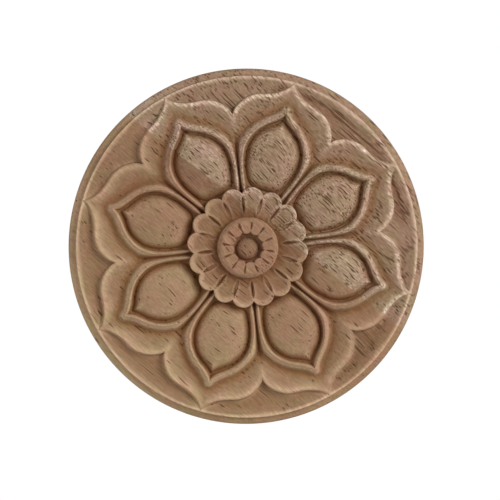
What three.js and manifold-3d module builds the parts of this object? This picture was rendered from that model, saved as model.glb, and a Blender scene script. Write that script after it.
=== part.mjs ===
// A round wooden rosette applique, carved in relief from one flat-backed blank: a stepped
// edge, eight petals with raised lips, a beaded eye with a dome in each petal, a ring of
// sixteen lobes, and a scalloped boss round a button. It is all one piece of wood.
//
// The carving is worked out in its own axes: x across, y up, and z out of the flat back.
// The group stands it upright, so the back's centre is the origin, the carved face looks
// along -Y and +Z is up. All sizes are in millimetres.

import * as THREE from "three";
import { mergeVertices } from "three/addons/utils/BufferGeometryUtils.js";
import Module from "manifold-3d";

const wasm = await Module();
wasm.setup();
const { degToRad, lerp, smoothstep } = THREE.MathUtils;

// The blank and its stepped edge
const discDiameter = 120;
const sideHeight = 3.6; // the upright side, from the flat back
const ledgeWidth = 2.4; // the rounded step round the edge
const ledgeRise = 1.6; // the ledge's rounding, above the upright side
const stepRise = 2.2; // from the ledge up to the rim
const rimBand = 0.7; // the level top of the rim
const coveWidth = 5; // the slope from the rim down to the ground
const groundDrop = 1; // the ground beside the petals, below the rim

// The carving's heights above the ground
const lipRise = 2.2;
const tipRise = 1.5; // a petal's lip at its tip
const valleyRise = 0.4; // the crease round a bead
const veeRise = 0.6; // the cut between two petals, near the ring
const beadRise = 3.4;
const grooveRise = 0.4;
const domeRise = 4.2;
const ringRise = 4.6;
const bossRise = 6.6;
const pitRise = 3.8;
const buttonRise = 5.9;

// The carving's small widths and depths
const tipGap = 0.3; // between a petal's tip and the rim's outer edge
const lipWidth = 0.8; // the rounding along a petal's lip
const lipRound = 0.4; // how far that rounding falls
const beadFlank = 2.6; // the outer slope of the bead round an eye
const beadRound = 0.5; // how far the bead's inner shoulder falls
const ringLip = 1.5; // the raised lip round the ring's lobes
const ringDish = 0.7; // the lobes' dish, below the lip
const ringDrop = 0.9; // the ring's further fall towards the boss
const ringTuck = 1; // how far the ring runs in under the boss
const cutWidth = 1.5; // the V cuts in the ring
const cutDepth = 1.4;
const grooveWidth = 1; // the V cuts in the boss
const grooveDepth = 0.8;

// Counts, and how far each pattern is turned clockwise, seen from the front
const petalCount = 8;
const lobeCount = 16;
const scallopCount = 12;
const petalAngle = degToRad(16);
const lobeAngle = degToRad(5);
const scallopAngle = degToRad(8.4);

// Radii and levels that follow
const discRadius = discDiameter / 2;
const rimRadius = discRadius - ledgeWidth;
const rimInside = rimRadius - rimBand;
const reach = rimRadius - tipGap; // from the centre to a petal's tip
const ledgeLevel = sideHeight + ledgeRise;
const rimLevel = ledgeLevel + stepRise;
const groundLevel = rimLevel - groundDrop;
const valleyLevel = groundLevel + valleyRise;
const beadLevel = groundLevel + beadRise;
const grooveLevel = groundLevel + grooveRise;
const ringLevel = groundLevel + ringRise;
const bossLevel = groundLevel + bossRise;
const pitLevel = groundLevel + pitRise;
const buttonLevel = groundLevel + buttonRise;
const halfPetal = Math.PI / petalCount;

// The flower's proportions, as shares of its reach
const ringShare = 0.2872; // the circle that the lobes' centres lie on
const lobeShare = 0.0667; // a lobe's radius
const cutMiddleShare = 0.25; // the V cuts in the ring: their middle and half their length
const cutHalfShare = 0.05;
const bossShare = 0.1794;
const grooveMiddleShare = 0.138;
const grooveHalfShare = 0.035;
const pitShare = 0.0991; // the pit's mouth at a notch between two scallops
const scallopShare = 0.0159; // how far a scallop reaches inwards from there
const buttonShare = 0.075;

// Half a petal's curves, with its axis along y: the corners of cubic curves, in the same shares
const notchShare = 0.783;
const hubShare = 0.272;
const betweenPetals = (share) => [share * Math.sin(halfPetal), share * Math.cos(halfPetal)];
const outlineCurves = [
  [betweenPetals(notchShare), [0.299, 0.788], [0.248, 0.867], [0.159, 0.888]],
  [[0.159, 0.888], [0.083, 0.906], [0.021, 0.95], [0, 1]],
];
const beadCurves = [
  [[0.084, 0.26], [0.133, 0.372], [0.187, 0.466], [0.187, 0.56]],
  [[0.187, 0.56], [0.187, 0.631], [0.142, 0.694], [0.0885, 0.736]],
  [[0.0885, 0.736], [0.053, 0.764], [0.018, 0.791], [0, 0.823]],
];
const grooveCurves = [
  [[0.109, 0.378], [0.142, 0.431], [0.162, 0.496], [0.162, 0.555]],
  [[0.162, 0.555], [0.162, 0.62], [0.124, 0.684], [0.0737, 0.7186]],
  [[0.0737, 0.7186], [0.05, 0.7345], [0.0206, 0.752], [0, 0.776]],
];
const beadFoot = [[0, 0.26], [0.028, 0.26], [0.056, 0.26], [0.084, 0.26]];
const grooveFoot = [[0, 0.339], [0.053, 0.339], [0.0855, 0.339], [0.109, 0.378]];
const eyeMiddleShare = 0.555;

// Steps along each curve, and round each lobe and scallop
const beadSteps = [5, 4, 3];
const footSteps = [2];
const outlineSteps = beadSteps.slice(1);
const ledgeStepCount = 3;
const lobeStepCount = 8;
const scallopStepCount = 6;

/** The points of some curves joined end to end, without repeating where they meet. */
function curvePoints(curves, steps) {
  const toPoint = ([x, y]) => new THREE.Vector2(x, y).multiplyScalar(reach);
  return curves.flatMap((corners, k) => {
    const points = new THREE.CubicBezierCurve(...corners.map(toPoint)).getPoints(steps[k]);
    return k ? points.slice(1) : points;
  });
}

/** The point at a clockwise bearing from straight up, and a distance from the centre. */
function polar(bearing, radius) {
  return new THREE.Vector2(Math.sin(bearing), Math.cos(bearing)).multiplyScalar(radius);
}

/** A point of the plan raised to its level above the back. */
function raised(point, level) {
  return new THREE.Vector3(point.x, point.y, level);
}

const outline = curvePoints(outlineCurves, outlineSteps);
const bead = curvePoints(beadCurves, beadSteps);
const eyeCrest = [...curvePoints([beadFoot], footSteps), ...bead.slice(1)];
const eyeGroove = [
  ...curvePoints([grooveFoot], footSteps),
  ...curvePoints(grooveCurves, beadSteps).slice(1),
];
const eyeCentre = new THREE.Vector2(0, eyeMiddleShare * reach);
const notchRow = beadSteps[0];
const border = bead.map((_, row) => {
  if (row >= notchRow) return outline[row - notchRow];
  return polar(halfPetal, lerp(hubShare, notchShare, row / notchRow) * reach);
});

/** The level of the ground and of the rim beyond it. */
function groundAt(radius) {
  return lerp(groundLevel, rimLevel, smoothstep(radius, rimInside - coveWidth, rimInside));
}

/** The level of a petal's border: its lip, or the line that it shares with the next petal. */
function borderLevel(row) {
  const radius = border[row].length();
  if (row < notchRow) {
    const towardsNotch = smoothstep(radius, 0.5 * reach, notchShare * reach);
    return groundLevel + lerp(veeRise, lipRise, towardsNotch);
  }
  return groundLevel + lerp(lipRise, tipRise, smoothstep(radius, 0.9 * reach, reach));
}

/** A petal's hollow on one row, from its border in to the bead's crest. */
function petalRow(row) {
  const crest = bead[row];
  const edge = border[row];
  const length = crest.distanceTo(edge);
  const flank = Math.min(beadFlank, 0.5 * length);
  const lip = Math.min(lipWidth, 0.2 * length);
  const lipLevel = borderLevel(row);
  const floor = Math.min(valleyLevel, lipLevel);
  const at = (distance, level) => raised(crest.clone().lerp(edge, distance / length), level);
  return [
    at(length, row < notchRow ? lipLevel : lipLevel - lipRound),
    at(length - lip, lipLevel),
    at(lerp(flank, length, 0.45), lerp(floor, lipLevel, 0.5)),
    at(flank, floor),
    at(0.5 * flank, lerp(floor, beadLevel, 0.57)),
    at(0, beadLevel),
  ];
}

/** An eye on one row, from the bead's crest in over the groove to the dome's top. */
function eyeRow(row) {
  const crest = eyeCrest[row];
  const groove = eyeGroove[row];
  const shoulder = raised(crest.clone().lerp(groove, 0.3), beadLevel - beadRound);
  const dome = [1, 0.82, 0.5, 0].map((share) => {
    const rise = Math.pow(1 - share * share, 0.55);
    const level = lerp(grooveLevel, groundLevel + domeRise, rise);
    return raised(eyeCentre.clone().lerp(groove, share), level);
  });
  return [raised(crest, beadLevel), shoulder, ...dome];
}

/** The back, side, ledge, rim and ground on one row, from the back's centre to a petal's edge. */
function edgeRow(row) {
  const edge = outline[row];
  const bearing = halfPetal * (1 - row / (outline.length - 1));
  const inside =
    edge.length() < rimInside
      ? polar(bearing, rimInside)
      : edge.clone().lerp(polar(bearing, rimRadius), 0.5);
  const ledge = Array.from({ length: ledgeStepCount + 1 }, (_, k) => {
    const angle = (Math.PI / 2) * (1 - k / ledgeStepCount);
    const radius = rimRadius + ledgeWidth * Math.sin(angle);
    return raised(polar(bearing, radius), sideHeight + ledgeRise * Math.cos(angle));
  });
  return [
    raised(new THREE.Vector2(), 0),
    raised(polar(bearing, discRadius), 0),
    ...ledge,
    raised(polar(bearing, rimRadius), rimLevel),
    raised(inside, groundAt(inside.length())),
    raised(edge, groundAt(edge.length())),
    petalRow(row + notchRow)[0],
  ];
}

/** The triangles between rows of points, without those that shrink to a line. */
function between(rows) {
  const triangles = rows.slice(1).flatMap((next, r) => {
    const row = rows[r];
    return row.slice(1).flatMap((inner, c) => [
      [row[c], next[c], next[c + 1]],
      [row[c], next[c + 1], inner],
    ]);
  });
  return triangles.filter(([a, b, c]) => !a.equals(b) && !b.equals(c) && !c.equals(a));
}

/** A closed solid from a geometry whose triangles meet at equal corners. */
function solidOf(geometry) {
  geometry.deleteAttribute("normal");
  geometry.deleteAttribute("uv");
  const merged = mergeVertices(geometry, 1e-4);
  return new wasm.Manifold(
    new wasm.Mesh({
      numProp: 3,
      vertProperties: merged.attributes.position.array,
      triVerts: new Uint32Array(merged.index.array),
    }),
  );
}

/** The blank with its petals and eyes: half a petal, mirrored and turned round the centre. */
function flowerBody() {
  const petalRows = bead.map((_, row) => petalRow(row));
  const footRows = eyeCrest.slice(0, footSteps[0]).reverse();
  const hubLine = [...petalRows[0], ...footRows.map((point) => raised(point, beadLevel))];
  const half = [
    ...between(eyeCrest.map((_, row) => eyeRow(row))),
    ...between(petalRows),
    ...between(outline.map((_, row) => edgeRow(row))),
    ...between(hubLine.map((point) => [point, raised(new THREE.Vector2(), beadLevel)])),
  ];
  const mirrored = half.map((corners) =>
    corners.map((point) => new THREE.Vector3(-point.x, point.y, point.z)).reverse(),
  );
  const petal = [...half, ...mirrored].flat();
  const axis = new THREE.Vector3(0, 0, 1);
  const points = Array.from({ length: petalCount }, (_, k) => {
    const bearing = petalAngle + 2 * halfPetal * k;
    return petal.map((point) => point.clone().applyAxisAngle(axis, -bearing));
  });
  return solidOf(new THREE.BufferGeometry().setFromPoints(points.flat()));
}

/**
 * A closed solid from profiles set round the centre, each from the bottom's centre to the top's.
 * A profile follows from its share of the way from its pattern's nearest axis to the next notch.
 */
function setRound(count, steps, turn, profileAt) {
  const rows = Array.from({ length: count * steps }, (_, k) => {
    const bearing = turn - (2 * Math.PI * k) / (count * steps);
    const place = k / steps;
    const share = 2 * Math.abs(place - Math.round(place));
    return profileAt(share).map(([radius, level]) => raised(polar(bearing, radius), level));
  });
  const triangles = between([...rows, rows[0]]);
  return solidOf(new THREE.BufferGeometry().setFromPoints(triangles.flat()));
}

/** The ring of dished lobes, rooted in the blank. */
function lobedRing() {
  const middle = ringShare * reach;
  const lobeRadius = lobeShare * reach;
  return setRound(lobeCount, lobeStepCount, lobeAngle, (share) => {
    const off = (share * Math.PI) / lobeCount;
    const sideways = middle * Math.sin(off);
    const outer = middle * Math.cos(off) + Math.sqrt(lobeRadius ** 2 - sideways ** 2);
    const dish = ringDish * (1 - share ** 2);
    return [
      [0, groundLevel / 2],
      [outer, groundLevel / 2],
      [outer, ringLevel - lipRound],
      [outer - 0.45 * ringLip, ringLevel],
      [outer - 1.2 * ringLip, ringLevel - dish],
      [bossShare * reach - ringTuck, ringLevel - dish - ringDrop],
      [0, ringLevel - ringDish - ringDrop],
    ];
  });
}

/** The boss with its scalloped pit and the button in it, rooted in the blank. */
function scallopedBoss() {
  const bossRadius = bossShare * reach;
  const buttonRadius = buttonShare * reach;
  const wallRise = bossLevel - ringLevel;
  const buttonStand = buttonLevel - pitLevel;
  return setRound(scallopCount, scallopStepCount, scallopAngle + Math.PI / scallopCount, (share) => {
    const bulge = Math.sqrt(1 - 0.96 * share ** 2);
    const mouth = (pitShare - scallopShare * bulge) * reach;
    const acrossTop = (part) => lerp(mouth, bossRadius, part);
    return [
      [0, groundLevel / 2],
      [bossRadius, groundLevel / 2],
      [bossRadius, bossLevel - wallRise],
      [acrossTop(0.88), bossLevel - 0.35 * wallRise],
      [acrossTop(0.55), bossLevel],
      [acrossTop(0.3), bossLevel - 0.05 * wallRise],
      [mouth, bossLevel - 0.4 * wallRise],
      [lerp(mouth, buttonRadius, 0.5), pitLevel],
      [buttonRadius, pitLevel],
      [0.88 * buttonRadius, pitLevel + 0.35 * buttonStand],
      [0.55 * buttonRadius, pitLevel + 0.79 * buttonStand],
      [0, buttonLevel],
    ];
  });
}

/** Pointed V cuts set round the centre, each with its middle at one radius and level. */
function veeCuts(count, turn, size, radius, level) {
  return Array.from({ length: count }, (_, k) => {
    const cut = new THREE.OctahedronGeometry(1).scale(size.x / 2, size.y / 2, size.z);
    cut.translate(0, radius, level).rotateZ(-turn - (2 * Math.PI * k) / count);
    return solidOf(cut);
  });
}

const ringCuts = veeCuts(
  lobeCount,
  lobeAngle + Math.PI / lobeCount,
  new THREE.Vector3(cutWidth, 2 * cutHalfShare * reach, cutDepth),
  cutMiddleShare * reach,
  ringLevel - 0.4 * ringDrop,
);
const bossCuts = veeCuts(
  scallopCount,
  scallopAngle,
  new THREE.Vector3(grooveWidth, 2 * grooveHalfShare * reach, grooveDepth),
  grooveMiddleShare * reach,
  bossLevel,
);
const carved = [...ringCuts, ...bossCuts].reduce(
  (solid, cut) => solid.subtract(cut),
  flowerBody().add(lobedRing()).add(scallopedBoss()),
);

const { vertProperties, triVerts } = carved.getMesh();
const geometry = new THREE.BufferGeometry();
geometry.setAttribute("position", new THREE.BufferAttribute(vertProperties, 3));
geometry.setIndex(new THREE.BufferAttribute(triVerts, 1));
geometry.computeVertexNormals();

const bareWood = new THREE.MeshStandardMaterial({ color: 0xb08f70, roughness: 0.75, metalness: 0 });
const rosette = new THREE.Mesh(geometry, bareWood);
rosette.name = "carved_rosette";

const applique = new THREE.Group();
applique.rotation.x = Math.PI / 2;
applique.add(rosette);

export default applique;
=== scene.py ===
"""Dresses a carved wood rosette applique: its finished relief, its bare wood and its studio.

The fixed frame gives the rosette's size and place. The relief is modelled here as one closed
mesh that keeps the frame's form: half a petal, half a lobe and half a scallop are shaped on
grids, mirrored, spun round the centre and united. Sizes are in millimetres, levels are
measured out of the flat back, and a plan point is (across, up) as seen from the front.
"""

import logging
import math
from collections.abc import Sequence
from dataclasses import dataclass, field
from enum import Enum

import bmesh
import bpy
import numpy as np
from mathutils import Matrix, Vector
from mathutils.bvhtree import BVHTree

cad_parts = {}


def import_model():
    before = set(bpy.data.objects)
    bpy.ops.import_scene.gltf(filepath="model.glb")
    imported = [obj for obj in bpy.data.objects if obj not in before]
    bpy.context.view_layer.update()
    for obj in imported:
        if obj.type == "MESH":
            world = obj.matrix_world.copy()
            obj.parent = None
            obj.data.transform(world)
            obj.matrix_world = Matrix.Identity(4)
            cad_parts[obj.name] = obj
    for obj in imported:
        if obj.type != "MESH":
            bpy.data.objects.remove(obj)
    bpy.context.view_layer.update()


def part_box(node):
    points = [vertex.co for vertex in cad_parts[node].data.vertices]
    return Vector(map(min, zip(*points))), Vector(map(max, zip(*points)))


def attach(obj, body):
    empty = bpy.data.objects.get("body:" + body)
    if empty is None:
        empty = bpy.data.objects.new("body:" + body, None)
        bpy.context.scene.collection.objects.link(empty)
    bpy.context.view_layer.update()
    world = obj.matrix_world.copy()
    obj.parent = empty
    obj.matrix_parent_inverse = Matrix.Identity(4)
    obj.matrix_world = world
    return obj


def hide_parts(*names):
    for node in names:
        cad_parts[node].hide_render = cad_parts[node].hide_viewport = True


MM = 0.001
NODE = "carved_rosette"
BODY = "root"
LOG = logging.getLogger("rosette")

Curve = Sequence[tuple[float, float]]
Numbers = np.ndarray | float
Tone = tuple[float, float, float]
Range = tuple[float, float]


def smooth(value: Numbers, low: float, high: float) -> np.ndarray:
    """Eases from 0 at low to 1 at high.

    Args:
        value: The number or numbers to ease.
        low: Where the result is 0.
        high: Where the result is 1.

    Returns:
        The eased numbers.
    """
    share = np.clip((np.asarray(value, float) - low) / (high - low), 0, 1)
    return share * share * (3 - 2 * share)


def mix(start: Numbers, end: Numbers, share: Numbers) -> np.ndarray:
    """The value at a share of the way from start to end."""
    return start + (end - start) * share


def polar(bearing: Numbers, radius: Numbers) -> np.ndarray:
    """Plan points at clockwise bearings from straight up, in radians, and distances out."""
    return np.stack(np.broadcast_arrays(radius * np.sin(bearing), radius * np.cos(bearing)), -1)


def closer_at_end(count: int, power: float = 1.5) -> np.ndarray:
    """Shares from 0 to 1, in this many steps, that lie closer together towards 1."""
    return 1 - (1 - np.linspace(0, 1, count + 1)) ** power


def raised(plan: np.ndarray, level: Numbers) -> np.ndarray:
    """Points of the object, in metres.

    Args:
        plan: Plan points in millimetres, in the last axis.
        level: Their levels out of the back, in millimetres.

    Returns:
        The points, with the carved face towards -Y and up along +Z.
    """
    across, up = plan[..., 0], plan[..., 1]
    return np.stack(np.broadcast_arrays(across, -np.asarray(level, float), up), -1) * MM


def distance_to(points: np.ndarray, line: np.ndarray) -> np.ndarray:
    """The shortest distance from plan points to a line of joined points.

    Args:
        points: Plan points, in the last axis.
        line: The line's points, one to a row.

    Returns:
        One distance for each point.
    """
    start, step = line[:-1], np.diff(line, axis=0)
    away = points[..., None, :] - start
    along = np.clip((away * step).sum(-1) / (step**2).sum(-1), 0, 1)
    return np.linalg.norm(away - along[..., None] * step, axis=-1).min(-1)


@dataclass(frozen=True)
class Relief:
    """The carving's sizes. The disc's radius and depth come from the frame."""

    disc_radius: float
    depth: float
    side: float = 3.6
    ledge_width: float = 2.4
    ledge: float = 5.2
    rim: float = 7.4
    rim_band: float = 0.7
    cove_width: float = 5.0
    ground: float = 6.4
    lip: float = 8.6
    tip: float = 7.9
    valley: float = 6.2
    bead: float = 9.8
    groove: float = 6.8
    dome: float = 10.6
    ring: float = 11.0
    pit: float = 10.2
    button: float = 12.3
    tip_gap: float = 0.3
    petals: int = 8
    lobes: int = 16
    scallops: int = 12
    petal_turn: float = math.radians(16)
    lobe_turn: float = math.radians(5)
    scallop_turn: float = math.radians(8.4)

    @classmethod
    def from_frame(cls, node: str) -> "Relief":
        """Reads the disc's radius and depth from a node of the frame."""
        low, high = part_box(node)
        return cls(disc_radius=(high.x - low.x) / 2 / MM, depth=(high.y - low.y) / MM)

    @property
    def rim_radius(self) -> float:
        """The rim's outer radius, where it steps down to the ledge."""
        return self.disc_radius - self.ledge_width

    @property
    def rim_inside(self) -> float:
        """The radius where the rim's level top ends."""
        return self.rim_radius - self.rim_band

    @property
    def reach(self) -> float:
        """The distance from the centre to a petal's tip."""
        return self.rim_radius - self.tip_gap

    @property
    def half_petal(self) -> float:
        """Half the angle between two petals."""
        return math.pi / self.petals

    def ground_at(self, radius: np.ndarray) -> np.ndarray:
        """The level of the ground and of the rim beyond it."""
        towards_rim = smooth(radius, self.rim_inside - self.cove_width, self.rim_inside)
        return mix(self.ground, self.rim, towards_rim)


@dataclass(frozen=True)
class GlueLine:
    """The straight line where the blank's two boards meet, seen from the front."""

    angle: float = math.radians(38)
    offset: float = 10.4

    @property
    def normal(self) -> tuple[float, float, float]:
        """The direction square to the line, towards the upper board."""
        return math.sin(self.angle), 0, math.cos(self.angle)

    def beyond(self, plan: np.ndarray) -> np.ndarray:
        """How far plan points lie beyond the line, in the upper board."""
        return plan @ self.normal[::2] - self.offset


class Workshop:
    """The modelling steps that every carved piece goes through."""

    WELD = 0.002 * MM

    @staticmethod
    def only(*objects: bpy.types.Object) -> bpy.types.Object:
        """Selects just these objects and makes the first one active.

        Args:
            objects: What to select.

        Returns:
            The first of them.
        """
        bpy.ops.object.select_all(action="DESELECT")
        for one in objects:
            one.select_set(True)
        bpy.context.view_layer.objects.active = objects[0]
        return objects[0]

    @staticmethod
    def shaped_grid(name: str, points: np.ndarray) -> bpy.types.Object:
        """Adds a grid and moves its corners to given points.

        Args:
            name: The new object's name.
            points: Rows and columns of points, in metres.

        Returns:
            The shaped grid.
        """
        rows, columns = points.shape[0] - 1, points.shape[1] - 1
        bpy.ops.object.select_all(action="DESELECT")
        bpy.ops.mesh.primitive_grid_add(x_subdivisions=columns, y_subdivisions=rows, size=2)
        grid = bpy.context.active_object
        grid.name = name
        flat = np.zeros(len(grid.data.vertices) * 3)
        grid.data.vertices.foreach_get("co", flat)
        start = flat.reshape(-1, 3)
        column = np.rint((start[:, 0] + 1) / 2 * columns).astype(int)
        row = np.rint((start[:, 1] + 1) / 2 * rows).astype(int)
        grid.data.vertices.foreach_set("co", points[row, column].ravel())
        grid.data.update()
        return grid

    @classmethod
    def joined(cls, name: str, parts: list[bpy.types.Object]) -> bpy.types.Object:
        """Joins objects into the first.

        Args:
            name: The joined object's name.
            parts: What to join.

        Returns:
            The joined object.
        """
        cls.only(*parts)
        if len(parts) > 1:
            bpy.ops.object.join()
        parts[0].name = name
        return parts[0]

    @classmethod
    def mirrored(cls, half: bpy.types.Object) -> bpy.types.Object:
        """Mirrors a half across its axis and joins the two along it.

        Args:
            half: The half, with its axis straight up.

        Returns:
            The same object, now whole.
        """
        cls.only(half)
        mirror = half.modifiers.new("other_half", "MIRROR")
        mirror.use_axis = (True, False, False)
        mirror.merge_threshold = cls.WELD
        bpy.ops.object.modifier_apply(modifier=mirror.name)
        return half

    @classmethod
    def set_round(cls, piece: bpy.types.Object, count: int, turn: float) -> bpy.types.Object:
        """Repeats a piece round the centre, turns the pattern and welds it into one surface.

        Args:
            piece: One piece of the pattern, with its axis straight up.
            count: How many there are round the centre.
            turn: How far the pattern is turned clockwise, in radians.

        Returns:
            The same object, with all copies in its mesh.
        """
        cls.only(piece)
        bpy.ops.object.mode_set(mode="EDIT")
        bpy.ops.mesh.select_all(action="SELECT")
        bpy.ops.mesh.spin(
            steps=count - 1,
            dupli=True,
            angle=math.tau * (count - 1) / count,
            center=(0, 0, 0),
            axis=(0, 1, 0),
        )
        bpy.ops.mesh.select_all(action="SELECT")
        bpy.ops.mesh.remove_doubles(threshold=cls.WELD)
        bpy.ops.mesh.dissolve_degenerate(threshold=cls.WELD / 10)
        bpy.ops.mesh.select_all(action="SELECT")
        bpy.ops.mesh.normals_make_consistent(inside=False)
        shell = bmesh.from_edit_mesh(piece.data)
        if shell.calc_volume(signed=True) < 0:
            bpy.ops.mesh.flip_normals()
        bpy.ops.object.mode_set(mode="OBJECT")
        piece.rotation_euler = (0, turn, 0)
        bpy.ops.object.transform_apply(location=False, rotation=True, scale=False)
        return piece

    @classmethod
    def united(cls, base: bpy.types.Object, other: bpy.types.Object) -> bpy.types.Object:
        """Unites another closed piece with the base, and removes it.

        Args:
            base: The closed piece that stays.
            other: The closed piece that goes into it.

        Returns:
            The base.
        """
        cls.only(base)
        union = base.modifiers.new("union", "BOOLEAN")
        union.operation = "UNION"
        union.solver = "EXACT"
        union.object = other
        bpy.ops.object.modifier_apply(modifier=union.name)
        bpy.data.objects.remove(other)
        return base


@dataclass
class Flower:
    """The blank with its stepped edge, its petals and their beaded eyes."""

    relief: Relief
    foot_rows: int = 6
    bead_rows: tuple[int, int, int] = (26, 20, 14)
    wall_columns: int = 8
    dome_columns: int = 16
    petal_columns: int = 30
    ground_columns: int = 8
    ledge_columns: int = 6
    bead_flank: float = 2.6
    bead_round: float = 1.15
    petal_rise: float = 0.9
    lip_round: float = 0.5
    tip_start: float = 0.88
    vee_depth: float = 1.0
    vee_width: float = 1.8
    vee_hollow: float = 1.3
    vee_reach: Range = (0.5, 0.74)
    fold: float = 0.35
    fold_width: float = 1.6
    fold_reach: Range = (0.66, 0.78)
    crest_width: float = 0.8
    dome_fullness: Range = (2.3, 0.74)
    lip_fall: float = 0.8
    edge_bevel: float = 0.3
    ledge_start: float = 0.12
    rim_start: float = 0.35
    crowding: float = 0.3
    outline: np.ndarray = field(init=False)
    bead: np.ndarray = field(init=False)
    crest: np.ndarray = field(init=False)
    groove: np.ndarray = field(init=False)
    border: np.ndarray = field(init=False)
    eye_centre: np.ndarray = field(init=False)

    NOTCH = 0.783
    HUB = 0.272
    DOME = 0.46
    EYE_MIDDLE = 0.555
    OUTLINE_END: tuple[Curve, ...] = (
        [(0.159, 0.888), (0.083, 0.906), (0.021, 0.95), (0, 1)],
    )
    BEAD: tuple[Curve, ...] = (
        [(0.084, 0.26), (0.133, 0.372), (0.187, 0.466), (0.187, 0.56)],
        [(0.187, 0.56), (0.187, 0.631), (0.142, 0.694), (0.0885, 0.736)],
        [(0.0885, 0.736), (0.053, 0.764), (0.018, 0.791), (0, 0.823)],
    )
    GROOVE: tuple[Curve, ...] = (
        [(0.109, 0.378), (0.142, 0.431), (0.162, 0.496), (0.162, 0.555)],
        [(0.162, 0.555), (0.162, 0.62), (0.124, 0.684), (0.0737, 0.7186)],
        [(0.0737, 0.7186), (0.05, 0.7345), (0.0206, 0.752), (0, 0.776)],
    )
    BEAD_FOOT: Curve = ((0, 0.26), (0.028, 0.26), (0.056, 0.26), (0.084, 0.26))
    GROOVE_FOOT: Curve = ((0, 0.339), (0.053, 0.339), (0.0855, 0.339), (0.109, 0.378))
    PETAL_WALL: Curve = ((0.12, 0.3), (0.25, 0.62), (0.38, 0.86), (0.62, 0.97))
    RIM_TOP: Curve = ((0.45, 0.02), (0.85, 0.12), (1, 0.4))
    STEP: Curve = ((0.02, 0.3), (0.12, 0.06))

    def along(self, curves: tuple[Curve, ...], steps: tuple[int, ...]) -> np.ndarray:
        """Points along cubic curves joined end to end.

        Args:
            curves: The corners of each curve, as shares of the flower's reach.
            steps: The steps along each curve.

        Returns:
            Plan points in millimetres, one to a row.
        """
        pieces = []
        for corners, count in zip(curves, steps):
            t = np.linspace(0, 1, count + 1)[:, None]
            a, b, c, d = (np.array(corner) * self.relief.reach for corner in corners)
            points = (1 - t) ** 3 * a + 3 * (1 - t) ** 2 * t * b + 3 * (1 - t) * t**2 * c + t**3 * d
            pieces.append(points[1:] if pieces else points)
        return np.concatenate(pieces)

    def __post_init__(self) -> None:
        """Lays out the lines of half a petal, with its axis straight up."""
        relief = self.relief
        notch = tuple(polar(relief.half_petal, self.NOTCH))
        first = [notch, (0.299, 0.788), (0.248, 0.867), (0.159, 0.888)]
        self.outline = self.along((first, *self.OUTLINE_END), self.bead_rows[1:])
        self.bead = self.along(self.BEAD, self.bead_rows)
        foot = self.along((self.BEAD_FOOT,), (self.foot_rows,))
        groove_foot = self.along((self.GROOVE_FOOT,), (self.foot_rows,))
        groove = self.along(self.GROOVE, self.bead_rows)
        self.crest = np.concatenate([foot, self.bead[1:]])
        self.groove = np.concatenate([groove_foot, groove[1:]])
        self.eye_centre = np.array([0, self.EYE_MIDDLE * relief.reach])
        radii = np.linspace(self.HUB, self.NOTCH, self.bead_rows[0] + 1)[:-1] * relief.reach
        self.border = np.concatenate([polar(relief.half_petal, radii), self.outline])

    def petal_level(self, points: np.ndarray) -> np.ndarray:
        """The level of a petal between its bead and its lip.

        Args:
            points: Plan points of half a petal.

        Returns:
            Their levels.
        """
        relief = self.relief
        radius = np.linalg.norm(points, axis=-1)
        to_bead = distance_to(points, self.bead)
        to_lip = distance_to(points, self.outline)
        angle = relief.half_petal
        to_next = np.abs(points[..., 0] * math.cos(angle) - points[..., 1] * math.sin(angle))
        lip = mix(relief.lip, relief.tip, smooth(radius / relief.reach, self.tip_start, 1))
        share = (to_bead / (to_bead + to_lip + 1e-9)) ** self.petal_rise
        flank = np.clip(1 - (to_bead / self.bead_flank) ** self.bead_round, 0, 1)
        level = mix(mix(relief.valley, lip, share), relief.bead, flank)
        cut = self.vee_depth * (1 - smooth(radius / relief.reach, *self.vee_reach))
        cut = cut * np.clip(1 - to_next / self.vee_width, 0, 1) ** self.vee_hollow
        fold = self.fold * smooth(radius / relief.reach, *self.fold_reach)
        fold = fold * np.clip(1 - to_next / self.fold_width, 0, 1)
        level += (fold - cut) * smooth(to_bead, 0, self.crest_width)
        edge = np.clip(1 - to_lip / self.lip_round, 0, 1)
        return level - self.lip_round * (1 - np.sqrt(1 - edge**2)) * self.lip_fall

    def eye_grid(self) -> np.ndarray:
        """Half an eye: from the bead's crest down the groove and up over the dome.

        Returns:
            Rows and columns of points, in metres.
        """
        relief = self.relief
        wall = np.linspace(0, 1, self.wall_columns + 1)[:, None]
        wall_plan = mix(self.crest[:, None], self.groove[:, None], wall)
        wall_level = mix(relief.bead, relief.groove, smooth(wall, 0, 1))[:, 0]
        inwards = np.linspace(0, 1, self.dome_columns + 1)[1:] ** 1.5
        offset = self.groove - self.eye_centre
        half_width, half_height = offset[:, 0].max(), self.DOME * np.ptp(offset[:, 1])
        length = np.linalg.norm(offset, axis=1)
        oval = length / np.hypot(offset[:, 0] / half_width, offset[:, 1] / half_height)
        rounder = mix(1, oval / length, smooth(inwards, 0, 0.55)[:, None]).T[..., None]
        dome_plan = self.eye_centre + offset[:, None] * rounder * (1 - inwards[:, None])
        steep, full = self.dome_fullness
        risen = (1 - (1 - np.clip((inwards - 0.02) / 0.98, 0, 1)) ** steep) ** full
        dome_level = mix(relief.groove, relief.dome, risen)
        plan = np.concatenate([wall_plan, dome_plan], axis=1)
        return raised(plan, np.concatenate([wall_level, dome_level]))

    def petal_grid(self) -> np.ndarray:
        """Half a petal outside its bead, closer at the bead and the lip than between.

        Returns:
            Rows and columns of points, in metres.
        """
        even = np.linspace(0, 1, self.petal_columns + 1)
        shares = mix(even, (1 - np.cos(math.pi * even)) / 2, 0.75)[:, None]
        plan = mix(self.bead[:, None], self.border[:, None], shares)
        return raised(plan, self.petal_level(plan))

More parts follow.
